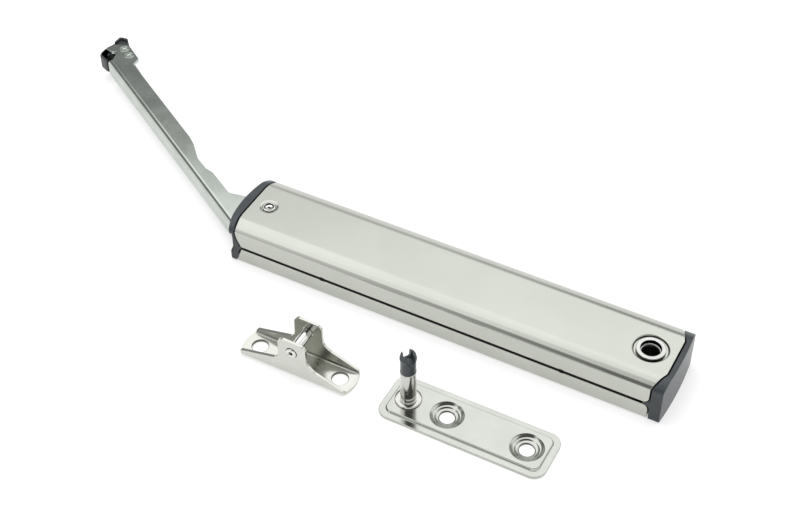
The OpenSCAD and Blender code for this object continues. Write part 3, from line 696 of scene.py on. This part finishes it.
def makePivotPin():
    top, shank = housing["height"], pivotPart["shank"]
    profile = ([(0, 0.1), (2.3, 0.1), (2.6, 0.3), (2.65, 1.2), (shank, 1.2), (shank, 17.6), (2.7, 17.6)]
               + arcPoints((2.2, top - 0.3), 0.5, 0, 90, 10)
               + [(2.08, top + 0.18), (2.0, top + 0.12), (1.6, top - 0.3), (1.5, top - 0.38),
                  (1.4, top - 0.41), (0.5, top - 0.45), (0.42, top - 0.5), (0.38, top - 0.65),
                  (0.38, top - 2), (0, top - 2)])
    return finish(lathe("armPivotPin", profile, arm["pivot"]), pivotSteel, "housing",
                  "arm_pivot_pin", flow=50)


makeCover()
makeTray()
makeFrontCap()
makeRearCap()
makeLiners()
makeBush()
makePivotPin()
print("housing made")


# lever arm, in its own frame: x along the arm, y towards the web, moved to its place at the end

armPlace = shift(*arm["pivot"]) @ turned(arm["angle"])


def head(dx, dy, r=0):
    # a corner of an outline, measured from the seat that takes the bracket's pin
    return (arm["length"] + dx, arm["seat"] + dy, r)


def armPlan():
    hub = arcPoints((0, 0), arm["hub"], 162, 314.6, 30)
    # the outline stands a little past the web, so that the bends keep their own faces
    past = arm["web"] + 1
    rest = [(20.8, 8.1, 3), (35.7, 8.3, 5), (39.4, 9.6, 3), (47, 9.8, 5), (56.6, 7.2, 8), (61.5, 6.7, 12),
            (121, 6.7, 0.4), head(-9.6, -9.5, 0.8), head(2.4, -9.8, 3), head(6.4, -3.8, 2),
            head(5.6, 0.1, 0.5), head(2.2, -0.5, 0.8), head(0.4, -3.4, 0.8), head(-4.4, 1.2, 0.5)]
    plan = roundCorners([(p.x, p.y, 0) for p in hub] + rest + [(130.2, arm["web"], 0), (3, arm["web"], 0)])
    return [(p.x, past if p.y > arm["web"] - 0.1 else p.y) for p in plan]


def makeArm():
    low, high, web, sheet, bend = pick(arm, "low high web sheet bend")
    channel = roundCorners([(web, low, bend), (web, high, bend), (-20, high, 0), (-20, high - sheet, 0),
                            (web - sheet, high - sheet, 0.6), (web - sheet, low + sheet, 0.6),
                            (-20, low + sheet, 0), (-20, low, 0)], 5)
    lever = prism("leverArm", channel, *arm["stock"], "x")
    carve(lever, through("plan", armPlan(), "z"), how="INTERSECT")
    softenEdges(lever, arm["edge"])
    carve(lever, bore(arm["bore"]))
    return finish(move(lever, armPlace), armNickel, "arm", "lever_arm")


catchPart = {"low": 6.2, "high": 12.6, "boss": 2.9, "seat": 2.15, "hollow": 4.5, "hollowRadius": 1.2,
             "lip": 0.9, "lipEdge": 0.2, "edge": 0.25}


def makeCatch():
    corners = [head(0.3, -9.6, 0.3), head(8.2, -11.6, 1), head(11.1, -9.2, 1.2), head(8.8, -5, 3),
               head(7.9, -1.2, 3), head(5.9, 2.4, 2), head(3.9, 4, 1.2), head(0.2, 3.5, 0.8),
               head(-1.6, 3, 0.4), head(-1.4, 2.2, 0.2), head(1.2, 1.2), head(1.5, -3.6, 0.3),
               head(-1.5, -3.6, 0.3), head(-3, -1, 0.6), head(-4.6, -0.9, 0.6), head(-6.6, -2.6, 1),
               head(-6.2, -5.1, 0.3), head(-2.8, -5.1, 0.3), head(-2.2, -7.4, 0.3)]
    low, high, r = pick(catchPart, "low high hollowRadius")
    latch = prism("catch", roundCorners(corners), low, high)
    carve(latch, rod("boss", catchPart["boss"], low, high, arm["catchPivot"]), how="UNION")
    carve(latch, bore(catchPart["seat"], (arm["length"], arm["seat"])))
    a, b = Vector(head(3.9, 1.6)[:2]), Vector(head(5.6, -0.6)[:2])
    lean = math.degrees(math.atan2(b.y - a.y, b.x - a.x))
    hollow = arcPoints(a, r, lean + 90, lean + 270, 16) + arcPoints(b, r, lean - 90, lean + 90, 16)
    carve(latch, prism("hollow", hollow, high - catchPart["hollow"], high + 1))
    softenEdges(latch, catchPart["edge"], 32)
    lip = [head(7, -11.3, 0.3), head(8.2, -11.6, 1), head(11.1, -9.2, 1.2), head(9, -5.4, 0.3),
           head(8.1, -5.8, 0.3), head(9.7, -8.9, 0.8), head(7.9, -10.4, 0.6), head(7.1, -10.2, 0.3)]
    lip = prism("lip", roundCorners(lip), high - 0.4, high + catchPart["lip"])
    softenEdges(lip, catchPart["lipEdge"], 32)
    latch = move(joinPieces("catchHook", latch, lip), armPlace)
    return finish(latch, black, "catch", "catch")


makeArm()
makeCatch()
print("arm made")


# rivets and springs, each grown by a node tree


class Tree(Nodes):
    # a Geometry Nodes tree with named inputs
    def __init__(self, name):
        super().__init__(bpy.data.node_groups.new(name, "GeometryNodeTree"))
        for way in ("INPUT", "OUTPUT"):
            self.tree.interface.new_socket("Geometry", in_out=way, socket_type="NodeSocketGeometry")
        self.source = self.tree.nodes.new("NodeGroupInput")
        self.sink = self.tree.nodes.new("NodeGroupOutput")
        self.names = {}

    def size(self, name, kind="NodeSocketFloat"):
        socket = self.tree.interface.new_socket(name, in_out="INPUT", socket_type=kind)
        self.names[name] = socket.identifier
        return Wire(self.tree, self.source.outputs[name])

    def circle(self, radius, count):
        ring = self.node("GeometryNodeCurvePrimitiveCircle", Radius=radius)
        return self.node("GeometryNodeResampleCurve", Curve=ring, Count=count)

    def grow(self, piece, result, material, **values):
        # whole values are counts, all others mm
        realized = self.node("GeometryNodeRealizeInstances", Geometry=result)
        painted = self.node("GeometryNodeSetMaterial", Geometry=realized, Material=material)
        feed(self.tree, self.sink.inputs[0], painted)
        step = piece.modifiers.new(self.tree.name, "NODES")
        step.node_group = self.tree
        for name, value in values.items():
            step[self.names[name]] = value if isinstance(value, int) else value * mm
        return settle(piece)


springPart = {"radius": 5.1, "wire": 0.9, "turns": 20, "closedPitch": 2.4, "start": -130.45, "end": -17.0,
              "aside": 7.3, "height": 9.4, "steps": 24, "sides": 14, "keep": 0.944}


def makeSpring(name, side, node):
    tree = Tree(name + "Tree")
    turns = tree.size("turns", "NodeSocketInt")
    radius, thick, pitch, length = (tree.size(key) for key in ("radius", "wire", "closedPitch", "length"))
    line = tree.node("GeometryNodeCurvePrimitiveLine", Start=(0, 0, 0), End=(1, 0, 0))
    line = tree.node("GeometryNodeResampleCurve", Curve=line, Count=turns * springPart["steps"] + 1)
    turn = tree.node("GeometryNodeSplineParameter", output="Factor") * turns
    # the end turns are wound close, the others open
    free = (length - thick * 2 - pitch * 2) / (turns - 2)
    middle = (turn.atMost(turns - 1) - 1).atLeast(0)
    along = thick + pitch * turn.atMost(1) + free * middle + pitch * (turn - (turns - 1)).atLeast(0)
    angle = turn * (2 * math.pi)
    spot = tree.node("ShaderNodeCombineXYZ", X=along, Y=radius * angle.reckon("COSINE", angle),
                     Z=radius * angle.reckon("SINE", angle))
    coil = tree.node("GeometryNodeSetPosition", Geometry=line, Position=spot)
    profile = tree.circle(thick, springPart["sides"])
    body = tree.node("GeometryNodeCurveToMesh", Curve=coil, Profile_Curve=profile, Fill_Caps=True)
    smooth = tree.node("GeometryNodeSetShadeSmooth", Geometry=body)
    start, end, aside, z = (value * mm for value in pick(springPart, "start end aside height"))
    y = side * aside
    placed = tree.node("GeometryNodeTransform", Geometry=smooth, Translation=(start, y, z))
    piece = newPiece(name, [(0, 0, 0)], [])
    values = {key: springPart[key] for key in ("turns", "radius", "wire", "closedPitch")}
    tree.grow(piece, placed, wire, length=springPart["end"] - springPart["start"], **values)
    outward(piece.data)
    piece.data.shade_smooth()
    hand(piece, "housing", node)
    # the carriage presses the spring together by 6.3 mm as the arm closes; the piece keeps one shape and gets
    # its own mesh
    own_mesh(piece)


rivetPart = {"headRadius": 1.45, "headHeight": 0.9, "collarRadius": 1.95, "collarWire": 0.26}
shankRadius = 1.38


def makeHeadRivets():
    tree = Tree("rivetTree")
    radius, height, collar, collarWire = (tree.size(key) for key in rivetPart)
    ball = tree.node("GeometryNodeMeshUVSphere", Segments=48, Rings=24, Radius=1.0)
    stretch = tree.node("ShaderNodeCombineXYZ", X=radius, Y=radius, Z=height)
    dome = tree.node("GeometryNodeTransform", Geometry=ball, Scale=stretch)
    tube = tree.node("GeometryNodeCurveToMesh", Curve=tree.circle(collar, 48),
                     Profile_Curve=tree.circle(collarWire, 12))
    both = tree.join("GeometryNodeJoinGeometry", tube, dome)
    spots = Wire(tree.tree, tree.source.outputs["Geometry"])
    placed = tree.node("GeometryNodeInstanceOnPoints", Points=spots, Instance=both)
    smooth = tree.node("GeometryNodeSetShadeSmooth", Geometry=placed)
    places, (low, high) = pick(arm, "catchPivot catchStop"), pick(arm, "low high")
    piece = newPiece("headRivets", [(x, y, z) for x, y in places for z in (high, low)], [])
    tree.grow(piece, smooth, armNickel, **rivetPart)
    shanks = [rod("shank", shankRadius, low - 0.05, high + 0.05, at, 32) for at in places]
    piece = move(joinPieces("headRivets", piece, *shanks), armPlace)
    return finish(piece, armNickel, "arm", "head_rivets")


makeSpring("coilSpringNear", -1, "coil_spring_near")
makeSpring("coilSpringFar", 1, "coil_spring_far")
makeHeadRivets()
print("springs and rivets made")


# mounting plate with its post and snap tip

platePart = {"at": (-73.6, -50.3), "end": 8.6, "length": 66.8, "width": 21.6, "rim": 2.8, "recess": 0.8,
             "sheet": 1.2, "field": 2.2, "holes": (16, 48), "hole": 2.9, "dish": 6.4, "postHole": 2.65}
plateX, plateY = platePart["at"]
# painted shade in the walls of the plate's two holes
plateNickel = pressedNickel("plateNickel", plateLook,
                            [(plateX + x, plateY, platePart["hole"]) for x in platePart["holes"]])
postSteel = turnedSteel("postSteel", postLook, platePart["at"])


def ringPath(inset, z, r):
    # a rounded rectangle, drawn in by inset from the plate's outline
    end, length, width = pick(platePart, "end length width")
    x0, x1, y = inset - end, length - end - inset, width / 2 - inset
    path = []
    for k, (cx, cy) in enumerate(((x1 - r, y - r), (x0 + r, y - r), (x0 + r, r - y), (x1 - r, r - y))):
        path += [(p.x, p.y, z) for p in arcPoints((cx, cy), r, k * 90, k * 90 + 90, 12)]
    return path


def plateRings():
    # from the recess below over the rim to the field, as inset, z, corner radius
    sheet, field, rim, recess = pick(platePart, "sheet field rim recess")
    recess = rim + recess
    under = [(recess, field - sheet, 1.9), (recess, 0.12, 1.9), (recess - 0.12, 0, 2.0)]
    edge = [(0.14, 0, 4.8), (0.02, 0.1, 4.9), (0, 0.3, 4.9), (0, sheet - 0.22, 4.9),
            (0.02, sheet - 0.12, 4.88), (0.07, sheet - 0.05, 4.83), (0.14, sheet - 0.01, 4.76)]
    flat = [(0.22, sheet, 4.7), (rim - 0.5, sheet, 3.2), (rim - 0.42, sheet + 0.02, 3.1),
            (rim - 0.36, sheet + 0.06, 3.0), (rim - 0.32, sheet + 0.12, 2.95)]
    fold = [(rim + 0.2 - p.x, p.y, 2.6 - k * 0.02)
            for k, p in enumerate(arcPoints((0, field - 0.3), 0.3, 25, 90, 8))]
    return under + edge + flat + fold + [(rim + 0.7, field, 2.0)]


def makePlate():
    sheet, field, r, hole = pick(platePart, "sheet field dish hole")
    rings = [ringPath(*level) for level in plateRings()]
    count, last = len(rings[0]), len(rings) - 1
    faces = []
    for start in range(0, last * count, count):
        for k in range(count):
            after = (k + 1) % count
            faces.append([start + k, start + after, start + count + after, start + count + k])
    faces += [list(range(count))[::-1], [last * count + k for k in range(count)]]
    plate = newPiece("mountingPlate", [spot for ring in rings for spot in ring], faces)
    boss = [(0, 0), (5.36, 0), (6.5, field - 0.35), (0, field - 0.35)]
    dish = [(0, 5), (r + 0.3, 5), (r + 0.2, field + 0.01), (r, field - 0.04), (r - 0.2, field - 0.14),
            (r - 0.4, field - 0.32), (r - 0.95, sheet + 0.22), (r - 1.15, sheet + 0.1),
            (r - 1.4, sheet + 0.04), (4.8, sheet + 0.02), (4.6, sheet - 0.03), (4.45, sheet - 0.14),
            (4.2, sheet - 0.34), (4.0, sheet - 0.42), (hole + 0.6, sheet - 0.46),
            (hole + 0.25, sheet - 0.52), (hole + 0.05, sheet - 0.66), (hole, 0.35), (hole, -2), (0, -2)]
    for x in platePart["holes"]:
        carve(plate, lathe("boss", boss, (x, 0)), how="UNION")
        carve(plate, lathe("dish", dish, (x, 0)))
    carve(plate, bore(platePart["postHole"], segments=48))
    return finish(move(plate, shift(plateX, plateY)), plateNickel, "plate", "mounting_plate")


def makePost():
    profile = [(0, 0.3), (3.2, 0.3), (3.6, 0.95), (2.6, 1.0), (2.6, 2.2), (4.95, 2.2), (5.1, 2.32),
               (5.1, 2.7), (5.02, 2.9), (4.85, 3.0), (3.45, 3.02), (3.2, 2.97), (2.95, 3.0), (2.86, 3.1),
               (2.86, 3.32), (2.93, 3.42), (3.0, 3.5), (3.0, 17.45), (2.93, 17.65), (2.78, 17.78),
               (2.6, 17.8), (0, 17.8)]
    return finish(lathe("pivotPost", profile, platePart["at"]), postSteel, "plate",
                  "pivot_post", flow=50)


tipPart = {"foot": 17.82, "top": 26.9, "root": 22.9, "slot": 3.0, "turn": 142, "bore": 1.85, "body": 2.9,
           "hook": 3.15, "edge": 0.12}


def makeTip():
    foot, top, root, body, hook, inner = pick(tipPart, "foot top root body hook bore")
    profile = [(0, foot), (body - 0.05, foot), (body + 0.1, foot + 0.1), (body + 0.1, foot + 0.5),
               (body, foot + 0.7), (body, top - 3.3), (hook - 0.1, top - 2.75), (hook, top - 2.5),
               (hook, top - 1.7), (hook - 0.05, top - 1.5), (body - 0.15, top - 0.1), (body - 0.35, top),
               (inner + 0.15, top), (inner, top - 0.15), (inner, root), (0, root)]
    tip = lathe("snapTip", profile, (0, 0), 72)
    half = tipPart["slot"] / 2
    slot = [(-half, beyond), *arcPoints((0, root + half), half, 180, 360, 16), (half, beyond)]
    carve(tip, move(through("slot", slot, "x"), turned(tipPart["turn"])))
    softenEdges(tip, tipPart["edge"])
    return finish(move(tip, shift(plateX, plateY)), slate, "plate", "snap_tip")


makePlate()
makePost()
makeTip()
print("plate made")


# flap bracket with its pin

bracketPart = {"at": (-118.8, -52.6), "length": 48, "half": 6.6, "sheet": 1.2, "endRadius": 13,
               "ear": 18.8, "earX": 1.0, "earWidth": 12, "eye": 2.3, "pinHeight": 13.2, "hole": 3.2,
               "pitch": 35, "edge": 0.1}
bracketX, bracketY = bracketPart["at"]
bracketHoles = (-bracketPart["pitch"] / 2, bracketPart["pitch"] / 2)
farEar = bracketY + bracketPart["half"] - bracketPart["sheet"]  # its inner face
# painted shade in the walls of the two holes and on the far ear's inner face
bracketNickel = pressedNickel("bracketNickel", bracketLook,
                              [(bracketX + x, bracketY, bracketPart["hole"]) for x in bracketHoles],
                              (farEar - 0.65, farEar + 0.15))
brightSteel = turnedSteel("brightSteel", brightLook, (bracketX + bracketPart["earX"], bracketY))


def makeBracket():
    half, sheet, ear, eye, r, endR = pick(bracketPart, "half sheet ear eye hole endRadius")
    end = bracketPart["length"] / 2
    outline = roundCorners([(-half, 25, 0), (-half, 0, 1.8), (half, 0, 1.8), (half, 25, 0),
                            (half - sheet, 25, 0), (half - sheet, sheet, 0.8), (-half + sheet, sheet, 0.8),
                            (-half + sheet, 25, 0)], 5)
    bracket = prism("flapBracket", outline, -end, end, "x")
    reach = math.degrees(math.asin(half / endR)) + 6
    plan = (arcPoints((end - endR, 0), endR, -reach, reach, 24)
            + arcPoints((endR - end, 0), endR, 180 - reach, 180 + reach, 24))
    carve(bracket, through("plan", plan, "z"), how="INTERSECT")
    x0, x1 = 1.4 - end, end - 1.4
    e0, e1 = (bracketPart["earX"] + side * bracketPart["earWidth"] / 2 for side in (-1, 1))
    side = roundCorners([(x0 - 8, -3, 0), (x0 - 8, sheet, 0), (x0, sheet, 0.5), (x0, 2.9, 1),
                         (e0 - 1.6, 6.9, 2), (e0, 9.2, 2.4), (e0 + 0.3, ear, 2.4), (e1, ear - 0.3, 2.4),
                         (e1 + 0.2, 9.4, 3), (e1 + 3, 6.8, 5), (x1, 2.2, 0.8), (x1, sheet, 0.5),
                         (x1 + 8, sheet, 0), (x1 + 8, -3, 0)])
    carve(bracket, through("side", side, "y"), how="INTERSECT")
    cut = [(0, 4), (r + 0.3, 4), (r + 0.25, sheet + 0.01), (r + 0.08, sheet - 0.06), (r, sheet - 0.2),
           (r, 0.1), (r + 0.1, -0.02), (r + 0.1, -2), (0, -2)]
    carve(bracket, *(lathe("hole", cut, (x, 0), 64) for x in bracketHoles))
    flare = [(eye + 0.25, 20), (eye + 0.2, half + 0.01), (eye + 0.06, half - 0.12), (eye, half - 0.3)]
    across = [(0, 20), *flare, *((x, -y) for x, y in flare[::-1]), (0, -20)]
    carve(bracket, move(lathe("eye", across, (0, 0), 64), pinPlace))
    softenEdges(bracket, bracketPart["edge"], 42)
    return finish(move(bracket, shift(bracketX, bracketY)), bracketNickel, "bracket",
                  "flap_bracket")


pinPart = {"radius": 2.1, "stand": 0.5, "bore": 0.8, "slit": 0.14, "slitTurn": 215, "edge": 0.05}
pinPlace = shift(bracketPart["earX"], 0, bracketPart["pinHeight"]) @ turned(90, "X")


def makeBracketPin():
    r, slit, inner = pick(pinPart, "radius slit bore")
    end = bracketPart["half"] + pinPart["stand"]
    half = [(inner, 0.15 - end), (inner + 0.15, -end), (r - 0.4, -end), (r - 0.15, 0.08 - end),
            (r, 0.3 - end)]
    pin = lathe("bracketPin", half + [(x, -y) for x, y in half[::-1]], (0, 0), 72)
    tool = block("slit", (0.3, -slit, -end - 1), (4, slit, end + 1))
    carve(pin, move(tool, turned(pinPart["slitTurn"])))
    softenEdges(pin, pinPart["edge"], segments=2)
    return finish(move(pin, shift(bracketX, bracketY) @ pinPlace), brightSteel, "bracket",
                  "bracket_pin")


makeBracket()
makeBracketPin()
print("bracket made")


# pieces kept from the frame

kept = {"pivot_spacers": slate, "spring_abutment": zinc, "guide_rods": brightSteel, "arm_cam": zinc,
        "cam_rivets": brightSteel, "spring_carriage": slate, "roller_pin": brightSteel,
        "cam_roller": brightSteel}
for name, material in kept.items():
    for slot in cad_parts[name].material_slots:
        slot.link = "OBJECT"
        slot.material = material


# studio: white table, pale surroundings and the camera as in the photograph; places are in metres and
# the table's half width in mm

studio = {"sky": 1.45, "gap": 0.27, "haze": 0.45, "wing": 0.4, "window": 0.4, "room": 0.19, "horizon": 1.12,
          "floorColour": 0.44, "floorGlow": 0.61, "mirrored": 0.82, "table": 1500,
          "lamp": 14, "lampSize": 1.2, "lampPlace": (-0.35, 0.1, 1.5), "lampAim": (-0.12, 0, 0)}
view = {"sensor": 36, "lens": 68.11, "place": (0.09607, -0.36839, 0.43006), "down": 44.5798, "turn": 28.4926,
        "roll": -0.5028}


def makeFloor():
    half = studio["table"]
    floor = block("table", (-half, -half, -2.0), (half, half, -0.02))
    look = newFinish("tableWhite")
    rays = {kind: look.node("ShaderNodeLightPath", output=f"Is {kind} Ray")
            for kind in ("Camera", "Glossy", "Transmission")}
    seen = rays["Camera"] + (rays["Glossy"] + rays["Transmission"]) * studio["mirrored"]
    matt = look.node("ShaderNodeBsdfDiffuse", Color=(*(studio["floorColour"],) * 3, 1))
    glow = look.node("ShaderNodeEmission", Strength=seen * studio["floorGlow"])
    look.node("ShaderNodeOutputMaterial", Surface=look.join("ShaderNodeAddShader", matt, glow))
    floor.data.materials.append(look.owner)


def makeWorld():
    world = bpy.data.worlds.new("studio")
    bpy.context.scene.world = world
    look = Finish(world)
    x, y, z = look.axes(look.where("Generated"))
    turn = math.radians(view["turn"])
    away = y * math.cos(turn) - x * math.sin(turn)  # towards the far side, as the camera looks
    aside = x * math.cos(turn) + y * math.sin(turn)
    near, left = 0 - away, 0 - aside
    # pale walls low down, higher at the camera's right and behind it
    low = 1 - (z - aside.ramp(-0.5, -0.38) * (1 - away.ramp(0.3, 0.6)) * 0.48).ramp(0.1, 0.24)
    low = low * (1 - near.ramp(0.3, 0.5) * left.ramp(0.42, 0.5) * (1 - left.ramp(0.68, 0.8)))
    high = z.ramp(0.63, 0.69) * (away - aside * 0.5).ramp(-0.2, 0.2)  # the soft box, over the far left
    behind = near.ramp(0.12, 0.4)  # the dark room behind the camera, paler at its left
    beside = left.ramp(0.45, 0.7)
    haze = away.ramp(0.6, 0.8) * aside.ramp(-0.18, -0.04) * (1 - aside.ramp(0.1, 0.38))
    wing = aside.ramp(0.5, 0.75) * away.ramp(-0.6, -0.2)
    gap = studio["gap"] + haze * studio["haze"] + wing * studio["wing"]
    gap = gap + behind * beside * studio["window"] - behind * (1 - beside) * (1 - wing) * studio["room"]
    light = gap + low * (studio["horizon"] - gap) + high * (studio["sky"] - gap) * (1 - low)
    back = look.node("ShaderNodeBackground", Color=(1, 1, 1, 1), Strength=light)
    look.node("ShaderNodeOutputWorld", Surface=back)


def makeLamp():
    data = bpy.data.lights.new("softBox", "AREA")
    data.shape, data.size, data.energy = "SQUARE", *pick(studio, "lampSize lamp")
    lamp = linked("softBox", data)
    lamp.location = studio["lampPlace"]
    lamp.rotation_mode = "QUATERNION"
    lamp.rotation_quaternion = (lamp.location - Vector(studio["lampAim"])).to_track_quat("Z", "Y")
    lamp.visible_glossy = False


def makeCamera():
    data = bpy.data.cameras.new("camera")
    data.sensor_width, data.sensor_fit, data.lens = view["sensor"], "HORIZONTAL", view["lens"]
    data.clip_start, data.clip_end = 0.01, 10
    camera = linked("camera", data)
    facing = turned(view["turn"]) @ turned(90 - view["down"], "X") @ turned(view["roll"])
    camera.matrix_world = Matrix.Translation(view["place"]) @ facing
    bpy.context.scene.camera = camera


makeFloor()
makeWorld()
makeLamp()
makeCamera()
bpy.context.scene.view_settings.view_transform = "Standard"
print("studio made")

bpy.context.view_layer.update()
